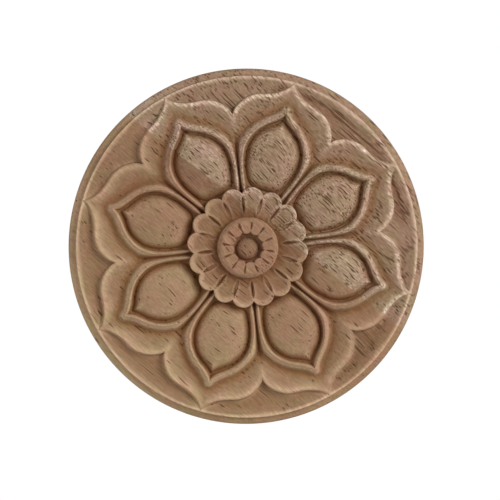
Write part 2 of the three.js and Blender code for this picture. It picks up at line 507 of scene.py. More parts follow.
    def edge_grid(self, petal_edge: np.ndarray) -> np.ndarray:
        """From a petal's edge down to the ground, over the rim and ledge, round to the back.

        Args:
            petal_edge: The petal's last points, in metres, which the wall starts from.

        Returns:
            Rows and columns of points, in metres.
        """
        relief = self.relief
        rows = len(self.outline)
        bearing = relief.half_petal * (1 - np.arange(rows) / (rows - 1))
        edge = self.outline
        edge_radius = np.linalg.norm(edge, axis=1)
        top = -petal_edge[:, 1] / MM
        inner = np.maximum(relief.rim_inside, mix(edge_radius, relief.rim_radius, self.rim_start))
        inside = polar(bearing, inner)
        span = np.linalg.norm(inside - edge, axis=1)
        columns = [petal_edge]

        def add(plan: np.ndarray, level: Numbers) -> None:
            """Adds one column of points."""
            columns.append(raised(plan, np.broadcast_to(level, rows)))

        def towards_rim(distance: float) -> np.ndarray:
            """Plan points at a distance out from the petal's edge."""
            share = np.minimum(distance / span, self.crowding + self.crowding * distance)
            return mix(edge, inside, share[:, None])

        foot = relief.ground_at(edge_radius)
        drop = np.maximum(top - foot, 0)
        for out, share in self.PETAL_WALL:
            add(towards_rim(out), top - drop * share)
        start = towards_rim(1.0)
        for share in np.linspace(0, 1, self.ground_columns + 1):
            plan = mix(start, inside, share)
            add(plan, relief.ground_at(np.linalg.norm(plan, axis=1)))
        for share, below in self.RIM_TOP:
            add(polar(bearing, mix(inner, relief.rim_radius, share)), relief.rim - below)
        for out, above in self.STEP:
            add(polar(bearing, relief.rim_radius + out), relief.ledge + above)
        for share in np.linspace(self.ledge_start, 1, self.ledge_columns + 1):
            angle = share * math.pi / 2
            out = relief.rim_radius + relief.ledge_width * math.sin(angle)
            add(polar(bearing, out), relief.side + (relief.ledge - relief.side) * math.cos(angle))
        add(polar(bearing, relief.disc_radius), self.edge_bevel)
        add(polar(bearing, relief.disc_radius - self.edge_bevel), 0)
        add(np.zeros((rows, 2)), 0)
        return np.stack(columns, axis=1)

    def build(self) -> bpy.types.Object:
        """Models the whole flower on its blank.

        Returns:
            The flower, as one closed surface.
        """
        eye, petal = self.eye_grid(), self.petal_grid()
        edge = self.edge_grid(petal[self.bead_rows[0]:, -1])
        hub_line = np.concatenate([petal[0, ::-1], eye[: self.foot_rows][::-1, 0]])
        centre = np.broadcast_to(raised(np.zeros(2), self.relief.bead), hub_line.shape)
        hub = np.stack([hub_line, centre], axis=1)
        grids = {"eye": eye, "petal": petal, "edge": edge, "hub": hub}
        parts = [Workshop.shaped_grid(name, points) for name, points in grids.items()]
        half = Workshop.mirrored(Workshop.joined("flower", parts))
        return Workshop.set_round(half, self.relief.petals, self.relief.petal_turn)


@dataclass(frozen=True)
class VeeCut:
    """A V cut along a radius, which runs out to a point at both ends."""

    middle: float
    half_length: float
    width: float
    depth: float

    def below(self, radius: np.ndarray, side: np.ndarray) -> np.ndarray:
        """How deep the cut is.

        Args:
            radius: Distances from the centre.
            side: Distances from the cut's line.

        Returns:
            The depths there.
        """
        reach = np.sqrt(np.clip(1 - ((radius - self.middle) / self.half_length) ** 2, 0, 1))
        return self.depth * reach * np.clip(1 - side / (self.width * reach + 1e-6), 0, 1)


@dataclass
class LobedRing:
    """The ring of dished lobes with V cuts between them."""

    relief: Relief
    rows: int = 12
    columns: int = 20
    middle: float = 16.46
    lobe_radius: float = 3.82
    inner_radius: float = 9.3
    lip_round: float = 0.4
    dish: float = 0.7
    fall: float = 0.9
    lip_slope: Range = (0.3, 2.2)
    side_lip: float = 0.35
    wall_drop: float = 1.2
    cut: VeeCut = VeeCut(middle=14.3, half_length=2.9, width=0.8, depth=1.5)

    def top(self, points: np.ndarray) -> np.ndarray:
        """The level of a lobe's top.

        Args:
            points: Plan points of half a lobe, with its axis straight up.

        Returns:
            Their levels.
        """
        half = math.pi / self.relief.lobes
        across, up = points[..., 0], points[..., 1]
        radius = np.hypot(across, up)
        side = np.abs(up * math.sin(half) - across * math.cos(half))
        arc = self.lobe_radius - np.hypot(across, up - self.middle)
        arc = np.where(up > self.middle, np.maximum(arc, 0), self.lobe_radius)
        to_edge = np.minimum(side + self.side_lip, arc)
        level = self.relief.ring - self.dish * smooth(to_edge, *self.lip_slope)
        level = level - self.fall * smooth(-radius, -self.middle - 1, -self.inner_radius)
        return level - self.cut.below(radius, side)

    def build(self) -> bpy.types.Object:
        """Models the whole ring, rooted in the blank.

        Returns:
            The ring, as one closed surface.
        """
        relief = self.relief
        half = math.pi / relief.lobes
        bearing = half * closer_at_end(self.rows)
        sideways = self.middle * np.sin(bearing)
        outer = self.middle * np.cos(bearing) + np.sqrt(self.lobe_radius**2 - sideways**2)
        base = relief.ground / 2
        edge = relief.ring - self.lip_round
        columns = [raised(np.zeros((len(bearing), 2)), base)]
        for level in (base, edge - self.wall_drop, edge):
            columns.append(raised(polar(bearing, outer), level))
        for angle in np.radians((30, 60)):
            radius = outer - self.lip_round * (1 - math.cos(angle))
            columns.append(raised(polar(bearing, radius), edge + self.lip_round * math.sin(angle)))
        start = outer - self.lip_round
        for share in np.linspace(0, 1, self.columns + 1) ** 1.25:
            plan = polar(bearing, mix(start, self.inner_radius, share))
            columns.append(raised(plan, self.top(plan)))
        columns.append(raised(np.zeros((len(bearing), 2)), relief.ring - self.dish - self.fall))
        lobe = Workshop.shaped_grid("ring", np.stack(columns, axis=1))
        return Workshop.set_round(Workshop.mirrored(lobe), relief.lobes, relief.lobe_turn)


@dataclass
class ScallopedBoss:
    """The boss with its V cuts, its scalloped pit and the button in it."""

    relief: Relief
    rows: int = 7
    shoulder_columns: int = 8
    top_columns: int = 10
    button_columns: int = 10
    radius: float = 10.28
    shoulder: float = 1.8
    shoulder_drop: float = 2.2
    notch_radius: float = 5.7
    scallop: float = 0.95
    scallop_round: float = 0.96
    button_radius: float = 3.9
    button_shift: tuple[float, float] = (-0.26, -0.43)
    dish: float = 0.2
    cut: VeeCut = VeeCut(middle=7.9, half_length=2.0, width=0.5, depth=0.8)
    top_fall: float = 0.35
    mouth_round: float = 0.25
    button_fullness: Range = (2.2, 0.75)
    floor_share: float = 0.45

    MOUTH: Curve = ((0.06, 0.1), (0, 0.35))
    PIT_WALL: Curve = ((0.1, 0.7), (0.25, 0.15))

    def top(self, bearing: np.ndarray, radius: np.ndarray, share: float) -> np.ndarray:
        """The level of the boss's top.

        Args:
            bearing: Bearings from a scallop's axis.
            radius: Distances from the centre.
            share: How far inwards it is from the shoulder, up to 1 at the pit's mouth.

        Returns:
            The levels there.
        """
        half = math.pi / self.relief.scallops
        side = radius * np.sin(np.maximum(half - bearing, 0))
        level = self.relief.depth - self.top_fall * share**2
        level = level - self.dish * math.sin(math.pi * share) * smooth(side, 0.2, 1.2)
        return level - self.cut.below(radius, side)

    def with_button_moved(self, boss: bpy.types.Object) -> bpy.types.Object:
        """Moves the button a little off the centre, as the hand left it.

        Args:
            boss: The whole boss, with its face towards -Y.

        Returns:
            The same object, with the pit's wall where it was.
        """
        across, up = self.button_shift
        wall = self.notch_radius - self.scallop - self.mouth_round
        for vertex in boss.data.vertices:
            x, y, z = vertex.co / MM
            if -y > self.relief.pit - 0.1:
                share = 1 - float(smooth(math.hypot(x, z), self.button_radius, wall))
                vertex.co += Vector((across, 0, up)) * share * MM
        return boss

    def build(self) -> bpy.types.Object:
        """Models the whole boss, rooted in the ring.

        Returns:
            The boss, as one closed surface.
        """
        relief = self.relief
        half = math.pi / relief.scallops
        bearing = half * closer_at_end(self.rows)
        rows = len(bearing)
        bulge = np.sqrt(1 - self.scallop_round * (bearing / half) ** 2)
        mouth = self.notch_radius - self.scallop * bulge
        base = relief.ground / 2
        columns = [raised(np.zeros((rows, 2)), base)]

        def add(radius: Numbers, level: Numbers) -> None:
            """Adds one column of points."""
            columns.append(raised(polar(bearing, np.broadcast_to(radius, rows)), level))

        add(self.radius, base)
        for angle in np.linspace(0, math.pi / 2, self.shoulder_columns + 1)[:-1]:
            level = relief.depth - self.shoulder_drop * (1 - math.sin(angle))
            add(self.radius - self.shoulder * (1 - math.cos(angle)), level)
        for share in np.linspace(0, 1, self.top_columns + 1):
            radius = mix(self.radius - self.shoulder, mouth + self.mouth_round, share)
            add(radius, self.top(bearing, radius, share))
        lip = self.top(bearing, mouth + self.mouth_round, 1.0)
        for out, below in self.MOUTH:
            add(mouth + out, lip - below)
        for inwards, above in self.PIT_WALL:
            add(mouth - inwards, relief.pit + above)
        add(mix(mouth, self.button_radius, self.floor_share), relief.pit)
        steep, full = self.button_fullness
        for share in np.linspace(1, 0, self.button_columns + 1):
            out = math.sin(share * math.pi / 2)
            add(self.button_radius * out, mix(relief.pit, relief.button, (1 - out**steep) ** full))
        scallop = Workshop.mirrored(Workshop.shaped_grid("boss", np.stack(columns, axis=1)))
        boss = Workshop.set_round(scallop, relief.scallops, relief.scallop_turn + half)
        return self.with_button_moved(boss)


@dataclass(frozen=True)
class Swell:
    """A change of tone that is strongest at one distance and fades on both sides of it."""

    strength: float
    middle: float
    width: float

    def at(self, distance: np.ndarray) -> np.ndarray:
        """The change at these distances."""
        return self.strength * np.exp(-(((distance - self.middle) / self.width) ** 2))


@dataclass
class PaintedLightByHeight:
    """Marks how far each point of the relief stands above, or lies below, the wood around it, as
    painted light: painted shade in hollows and painted highlights on crests and lips.
    """

    relief: Relief
    outline: np.ndarray
    cell: float = 0.3
    margin: int = 16
    reach: float = 1.4
    full: float = 0.4
    # These shares weaken the painted highlights and painted shade in parts of the relief.
    high_share: float = 0.74
    ground_share: float = 0.12
    pit_share: float = 0.4
    soft_share: float = 0.45
    pit_radius: float = 5.4
    pit_mouth: Range = (5.6, 6.6)
    shoulder_start: Range = (7.4, 8.6)
    shoulder_end: Range = (9.4, 10.2)
    highest: float = 1.2
    rim_share: float = 1.3
    high: Range = (8.7, 9.4)
    lip_reach: Range = (0.7, 0.78)
    rim_ease: Range = (-0.6, 0.3)
    lower_lip_edge_shade: Range = (0.5, 1.25)

    # The attribute that carries the painted light and shade.
    MARK = "painted_light_and_shade"
    # Painted highlights and shade along the lips, which differ with the side the key lamp lights,
    # and painted light on the ground at their foot.
    UPPER_LIP_LIGHT = (Swell(0.26, 0.7, 0.45), Swell(-0.25, 2.0, 0.7))
    LOWER_LIP_LIGHT = (Swell(0.14, 2.6, 0.9), Swell(0.1, 0.75, 0.3))
    UPPER_FOOT_LIGHT = (Swell(0.28, 0.3, 0.55),)
    LOWER_FOOT_LIGHT = (Swell(0.55, 0.55, 0.8),)

    def level_map(self, piece: bpy.types.Object) -> np.ndarray:
        """Measures the carved face on square cells.

        Args:
            piece: The carved piece, with its face towards -Y.

        Returns:
            The level in each cell, by columns from the left, with nan outside the disc.
        """
        mesh = piece.data
        corners = [vertex.co for vertex in mesh.vertices]
        tree = BVHTree.FromPolygons(corners, [face.vertices for face in mesh.polygons])
        half = int(self.relief.disc_radius / self.cell) + self.margin
        places = np.arange(-half, half + 1) * self.cell * MM
        levels = np.full((len(places), len(places)), np.nan)
        ahead, in_front = Vector((0, 1, 0)), -2 * self.relief.depth * MM
        for i, x in enumerate(places):
            for j, z in enumerate(places):
                if math.hypot(x, z) < (self.relief.disc_radius + self.cell) * MM:
                    hit = tree.ray_cast(Vector((x, in_front, z)), ahead)[0]
                    if hit:
                        levels[i, j] = -hit.y / MM
        return levels

    def sampled(self, values: np.ndarray, plan: np.ndarray) -> np.ndarray:
        """Reads a map of cells at plan points, evenly between the cells.

        Args:
            values: One number for each cell.
            plan: Plan points, one to a row.

        Returns:
            One number for each point.
        """
        place = plan / self.cell + (len(values) - 1) / 2
        low = np.floor(place).astype(int)
        share = place - low
        x, z = low[:, 0], low[:, 1]
        near = mix(values[x, z], values[x + 1, z], share[:, 0])
        far = mix(values[x, z + 1], values[x + 1, z + 1], share[:, 0])
        return mix(near, far, share[:, 1])

    def around(self, levels: np.ndarray, plan: np.ndarray) -> np.ndarray:
        """The mean level round plan points, without what lies outside the disc.

        Args:
            levels: The map of levels.
            plan: Plan points, one to a row.

        Returns:
            One level for each point.
        """
        wave = np.fft.fftfreq(len(levels), self.cell)
        blur = np.exp(-2 * (math.pi * self.reach) ** 2 * (wave[:, None] ** 2 + wave[None] ** 2))
        weight = np.fft.ifft2(np.fft.fft2(~np.isnan(levels)) * blur).real
        total = np.fft.ifft2(np.fft.fft2(np.nan_to_num(levels)) * blur).real
        return self.sampled(total / np.maximum(weight, 1e-3), plan)

    def softened(self, painted_light_and_shade: np.ndarray, level: np.ndarray, radius: np.ndarray) -> np.ndarray:
        """Weakens the painted highlights and painted shade where the relief looks softer: on the
        rim, high up and on the boss.

        Args:
            painted_light_and_shade: The mark.
            level: The points' levels.
            radius: Their distances from the centre.

        Returns:
            The lowered mark.
        """
        relief = self.relief
        rim = smooth(radius, *(relief.rim_inside + ease for ease in self.rim_ease)) * self.rim_share
        on_rim = (level < relief.rim + 0.1) & (radius > relief.rim_inside - relief.cove_width / 2)
        past_shoulder = smooth(radius, *self.shoulder_end)
        on_shoulder = smooth(radius, *self.shoulder_start) * (1 - past_shoulder)
        soft = np.maximum(on_shoulder, 1 - smooth(radius, *self.pit_mouth))
        # Shares of the painted highlight on crests, then of the painted shade in hollows.
        crest = mix(1, self.high_share, smooth(level, *self.high)) * mix(1, self.soft_share, soft)
        crest = crest * np.where(on_rim, rim, 1)
        hollow = np.where(radius < self.pit_radius, self.pit_share, 1)
        return painted_light_and_shade * np.where(painted_light_and_shade > 0, crest, hollow)

    def petal_edge(self, plan: np.ndarray) -> tuple[np.ndarray, np.ndarray]:
        """Places points by the petals' edges.

        Args:
            plan: Plan points, one to a row.

        Returns:
            How far each is from the nearest petal's edge, and whether it lies outside the petals.
        """
        turned = np.arctan2(*plan.T) - self.relief.petal_turn
        step = 2 * self.relief.half_petal
        bearing = np.abs(turned - step * np.rint(turned / step))
        radius = np.hypot(*plan.T)
        ahead = self.outline[::-1].T
        edge = np.interp(bearing, np.arctan2(*ahead), np.hypot(*ahead))
        return distance_to(polar(bearing, radius), self.outline), radius > edge

    def lip_light_and_shade(self, distance: np.ndarray, outside: np.ndarray, upper: np.ndarray) -> np.ndarray:
        """The painted highlight along a lip and the painted light on the ground at its foot: a
        crisp highlight in the upper board, whose lips face the key lamp, and a soft one with
        painted shade at its outer edge in the lower.

        Args:
            distance: Distances from the petal's edge.
            outside: Whether each point lies outside the petals.
            upper: Whether each point lies in the upper board.

        Returns:
            What to add to the mark.
        """
        crisp_highlight, soft, upper_foot_light, lower_foot_light = (
            sum(swell.at(distance) for swell in swells)
            for swells in (self.UPPER_LIP_LIGHT, self.LOWER_LIP_LIGHT, self.UPPER_FOOT_LIGHT, self.LOWER_FOOT_LIGHT)
        )
        # Painted shade along the outer edge of the lower board's lips, which face away from the key
        # lamp.
        fall, width = self.lower_lip_edge_shade
        soft = soft - fall * (1 - smooth(distance, 0, width))
        foot = np.where(upper, upper_foot_light, lower_foot_light)
        return np.where(outside, foot, np.where(upper, crisp_highlight, soft))

    def mark(self, piece: bpy.types.Object) -> None:
        """Writes the painted light and shade: from -1, painted shade deep in a hollow, through 0 to
        1, a painted highlight high on a crest.

        Args:
            piece: The carved piece, with its face towards -Y.
        """
        mesh = piece.data
        flat = np.zeros(len(mesh.vertices) * 3)
        mesh.vertices.foreach_get("co", flat)
        points = flat.reshape(-1, 3) / MM
        level, plan = -points[:, 1], points[:, [0, 2]]
        radius = np.hypot(*plan.T)
        carved = 1 - smooth(radius, self.relief.rim_radius - 0.2, self.relief.rim_radius + 0.2)
        # Painted shade where a point lies below the wood around it, painted highlight where it
        # stands above.
        above = level - self.around(self.level_map(piece), plan)
        painted_light_and_shade = self.softened(np.tanh(above / self.full) * carved, level, radius)
        distance, outside = self.petal_edge(plan)
        # Painted shade on the ground is kept weak, then the painted lip highlights and foot light
        # are added.
        painted_light_and_shade = np.where(outside & (painted_light_and_shade < 0), painted_light_and_shade * self.ground_share, painted_light_and_shade)
        on_lip = smooth(radius / self.relief.reach, *self.lip_reach) * carved
        painted_light_and_shade += on_lip * self.lip_light_and_shade(distance, outside, GlueLine().beyond(plan) > 0)
        painted_light_and_shade = np.minimum(painted_light_and_shade, self.highest)
        attribute = mesh.attributes.new(self.MARK, "FLOAT", "POINT")
        attribute.data.foreach_set("value", painted_light_and_shade.astype(np.float32))


@dataclass
class Rosette:
    """The whole carved rosette: one piece of wood."""

    relief: Relief

    FACE = "carved_face"

    def roughened(self, piece: bpy.types.Object) -> None:
        """Gives the carved face the slight unevenness of hand work, and applies it.

        Args:
            piece: The carved piece, with its face grouped.
        """
        for name, scale, strength in (("hand", 5.0, 0.12), ("tool", 1.1, 0.05)):
            clouds = bpy.data.textures.new(name, "CLOUDS")
            clouds.noise_scale = scale * MM
            clouds.noise_depth = 1
            uneven = piece.modifiers.new(name, "DISPLACE")
            uneven.texture = clouds
            uneven.texture_coords = "LOCAL"
            uneven.mid_level = 0.5
            uneven.strength = strength * MM
            uneven.vertex_group = self.FACE
            Workshop.only(piece)
            bpy.ops.object.modifier_apply(modifier=uneven.name)

    def carved_face(self, piece: bpy.types.Object) -> None:
        """Groups the points of the carved face, which hand work has touched.

        Args:
            piece: The carved piece.
        """
        group = piece.vertex_groups.new(name=self.FACE)
        edge = -self.relief.side * MM
        inside = (self.relief.rim_radius - 0.3) * MM
        for vertex in piece.data.vertices:
            x, y, z = vertex.co
            if y < edge and math.hypot(x, z) < inside:
                group.add([vertex.index], 1, "REPLACE")

    def build(self) -> bpy.types.Object:
        """Models the rosette at its place in the frame.

        Returns:
            The rosette, as one closed mesh.
        """
        flower = Flower(self.relief)
        rosette = flower.build()
        for other in (LobedRing(self.relief), ScallopedBoss(self.relief)):
            rosette = Workshop.united(rosette, other.build())
        rosette.name = "rosette"
        self.carved_face(rosette)
        self.roughened(rosette)
        PaintedLightByHeight(self.relief, flower.outline).mark(rosette)
        Workshop.only(rosette)
        bpy.ops.object.shade_smooth_by_angle(angle=math.radians(48))
        return rosette


Socket = bpy.types.NodeSocket | float | tuple
PLAIN: Tone = (1, 1, 1)


class Graph:
    """Adds and links the nodes of one node tree."""

    def __init__(self, tree: bpy.types.NodeTree) -> None:
        """Works on a tree."""
        self.tree = tree

    def add(
        self, kind: str, inputs: dict[str | int, Socket] | None = None, **settings: object
    ) -> bpy.types.Node:
        """Adds a node.

        Args:
            kind: The node's type.
            inputs: Values for its sockets, or sockets to link to them.
            settings: The node's own settings.

        Returns:
            The new node.
        """
        node = self.tree.nodes.new(kind)
        for name, value in settings.items():
            setattr(node, name, value)
        for key, value in (inputs or {}).items():
            self.put(node.inputs[key], value)
        return node

    def put(self, socket: bpy.types.NodeSocket, value: Socket) -> None:
        """Links a socket to an output, or sets its value.

        Args:
            socket: The input socket.
            value: An output socket or a value. A tone becomes an opaque colour.
        """
        if isinstance(value, bpy.types.NodeSocket):
            self.tree.links.new(value, socket)
        elif socket.type == "RGBA" and len(value) == 3:
            socket.default_value = (*value, 1)
        else:
            socket.default_value = value

    def math(self, operation: str, *values: Socket, clamp: bool = False) -> bpy.types.NodeSocket:
        """One arithmetic step on numbers."""
        inputs = dict(enumerate(values))
        return self.add("ShaderNodeMath", inputs, operation=operation, use_clamp=clamp).outputs[0]

    def product(self, first: Socket, *others: Socket) -> bpy.types.NodeSocket:
        """Numbers multiplied together.

        Args:
            first: The first number.
            others: What to multiply it by.

        Returns:
            Their product.
        """
        for other in others:
            first = self.math("MULTIPLY", first, other)
        return first

    def scaled(self, value: Socket, factor: Socket, offset: Socket) -> bpy.types.NodeSocket:
        """A number times a factor, and an offset added."""
        return self.math("MULTIPLY_ADD", value, factor, offset)

    def mapped(self, vector: Socket, **settings: Tone) -> bpy.types.NodeSocket:
        """A vector scaled or turned by a Mapping node."""
        return self.add("ShaderNodeMapping", {"Vector": vector, **settings}).outputs[0]

    def parts(self, vector: Socket) -> bpy.types.bpy_prop_collection:
        """A vector's three numbers, by the names X, Y and Z."""
        return self.add("ShaderNodeSeparateXYZ", {"Vector": vector}).outputs

    def vector(self, operation: str, *values: Socket) -> bpy.types.NodeSocket:
        """One arithmetic step on vectors.

        Args:
            operation: The Vector Math node's operation.
            values: Its inputs.

        Returns:
            The result, which is a number where the operation gives one.
        """
        node = self.add("ShaderNodeVectorMath", dict(enumerate(values)), operation=operation)
        scalar = operation in ("DOT_PRODUCT", "LENGTH", "DISTANCE")
        return node.outputs["Value" if scalar else "Vector"]

    def ramp(self, value: Socket, low: float, high: float) -> bpy.types.NodeSocket:
        """A number eased between two bounds.

        Args:
            value: The number.
            low: Where the result is 0.
            high: Where the result is 1.

        Returns:
            The eased number.
        """
        node = self.add("ShaderNodeMapRange", interpolation_type="SMOOTHSTEP")
        self.put(node.inputs["Value"], value)
        node.inputs["From Min"].default_value = low
        node.inputs["From Max"].default_value = high
        return node.outputs["Result"]

    def noise(
        self, vector: Socket, scale: float, detail: float, roughness: float = 0.5
    ) -> bpy.types.NodeSocket:
        """A cloudy number from 0 to 1."""
        inputs = {"Vector": vector, "Scale": scale, "Detail": detail, "Roughness": roughness}
        return self.add("ShaderNodeTexNoise", inputs).outputs["Fac"]

    def tinted(self, colour: Socket, tone: Socket) -> bpy.types.NodeSocket:
        """A colour multiplied by a tone."""
        return self.blend(1.0, colour, tone, "MULTIPLY")

    def blend(
        self, share: Socket, first: Socket, second: Socket, mode: str = "MIX"
    ) -> bpy.types.NodeSocket:
        """One colour blended into another.

        Args:
            share: How much of the second colour there is.
            first: The colour where the share is 0.
            second: The colour to blend in.
            mode: How it is blended in.

        Returns:
            The blended colour.
        """
        node = self.add("ShaderNodeMix", data_type="RGBA", blend_type=mode)
        self.put(node.inputs[0], share)
        self.put(node.inputs[6], first)
        self.put(node.inputs[7], second)
        return node.outputs[2]


def shader_group(name: str, inputs: dict[str, str], outputs: dict[str, str]) -> bpy.types.NodeTree:
    """Starts a shader node group.

    Args:
        name: The group's name.
        inputs: Each input's name and socket type.
        outputs: Each output's name and socket type.

    Returns:
        The group with its input and output nodes.
    """
    tree = bpy.data.node_groups.new(name, "ShaderNodeTree")
    for way, sockets in (("INPUT", inputs), ("OUTPUT", outputs)):
        for label, kind in sockets.items():
            tree.interface.new_socket(name=label, in_out=way, socket_type=kind)
    tree.nodes.new("NodeGroupInput")
    tree.nodes.new("NodeGroupOutput")
    return tree


class Vessel(Enum):
    """The sets of open vessels: cell across and along in mm, radius in cells, shares of cells."""

    SHORT = (0.5, 7.5, 0.44, 1.2, 0.24)
    LONG = (0.75, 24.0, 0.34, 1.4, 0.25)

    @property
    def sizes(self) -> dict[str, float]:
        """The vessels' sizes, by the names of the group's inputs."""
        return dict(zip(("Across", "Along", "Radius"), self.value[:3]))

    @property
    def shares(self) -> tuple[float, float]:
        """How much of the upper and of the lower board's cells hold a vessel."""
        return self.value[3:]


class WoodGraph(Graph):
    """The wood's nodes, with the places in the blank that its colours and marks go by."""

    GRAIN_SWAY = 9.0
    SWAY_SCALE = 0.022
    CLOUD_SWING = 20.0
    CLOUD_SCALE = 0.06
    JOINT_BLUR = 0.12
    GROUND_TOP: Range = (7.4, 6.6)
    GROUND_FOOT: Range = (5.4, 6.2)
    STREAK: Range = (41, 47)
    STREAK_SWAY = 0.4

    def __init__(self, tree: bpy.types.NodeTree, glue_line: GlueLine, grain_angle: float) -> None:
        """Works out the places from the object's own coordinates, in millimetres.

        Args:
            tree: The material's node tree.
            glue_line: Where the two boards meet.
            grain_angle: How far the grain is turned, seen from the front.
        """
        super().__init__(tree)
        place = self.add("ShaderNodeTexCoord").outputs["Object"]
        self.place = self.mapped(place, Scale=(1 / MM,) * 3)
        sway = self.math("SUBTRACT", self.noise(self.place, self.SWAY_SCALE, 1.0), 0.5)
        sway = self.add("ShaderNodeCombineXYZ", {"Z": self.product(sway, self.GRAIN_SWAY)})
        turned = self.mapped(self.place, Rotation=(0, grain_angle, 0))
        self.grain = self.vector("ADD", turned, sway.outputs[0])
        self.across = self.parts(self.place)["X"]
        self.level = self.product(self.parts(self.place)["Y"], -1.0)
        self.radius = self.vector("LENGTH", self.vector("MULTIPLY", self.place, (1, 0, 1)))
        beyond = self.vector("DOT_PRODUCT", self.place, glue_line.normal)
        self.beyond = self.math("SUBTRACT", beyond, glue_line.offset)
        self.upper = self.ramp(self.beyond, -self.JOINT_BLUR, self.JOINT_BLUR)
        self.lower = self.math("SUBTRACT", 1.0, self.upper)
        ground = self.ramp(self.level, *self.GROUND_TOP)
        self.ground = self.product(ground, self.ramp(self.level, *self.GROUND_FOOT))
        clouds = self.noise(self.place, self.CLOUD_SCALE, 2.0)
        self.cloudy = self.scaled(clouds, self.CLOUD_SWING, -self.CLOUD_SWING / 2)

    def stretched(self, along: float, depth: float, across: float) -> bpy.types.NodeSocket:
        """The grain's coordinates with these lengths, in millimetres, as one unit."""
        return self.mapped(self.grain, Scale=(1 / along, 1 / depth, 1 / across))

    def streak(self) -> bpy.types.NodeSocket:
        """Where the dark streak runs, far out in the upper board, as a mask."""
        sway = self.product(self.cloudy, self.STREAK_SWAY)
        return self.ramp(self.math("ADD", self.parts(self.grain)["Z"], sway), *self.STREAK)

    def lower_right(self) -> bpy.types.NodeSocket:
        """Where the ground at the lower right lies, below the glue line.

        Returns:
            A mask.
        """
        right = self.product(self.ground, self.ramp(self.across, 12.0, 30.0))
        near = self.ramp(self.beyond, -30.0, -16.0)
        return self.product(right, near, self.ramp(self.beyond, -1.0, -5.0))


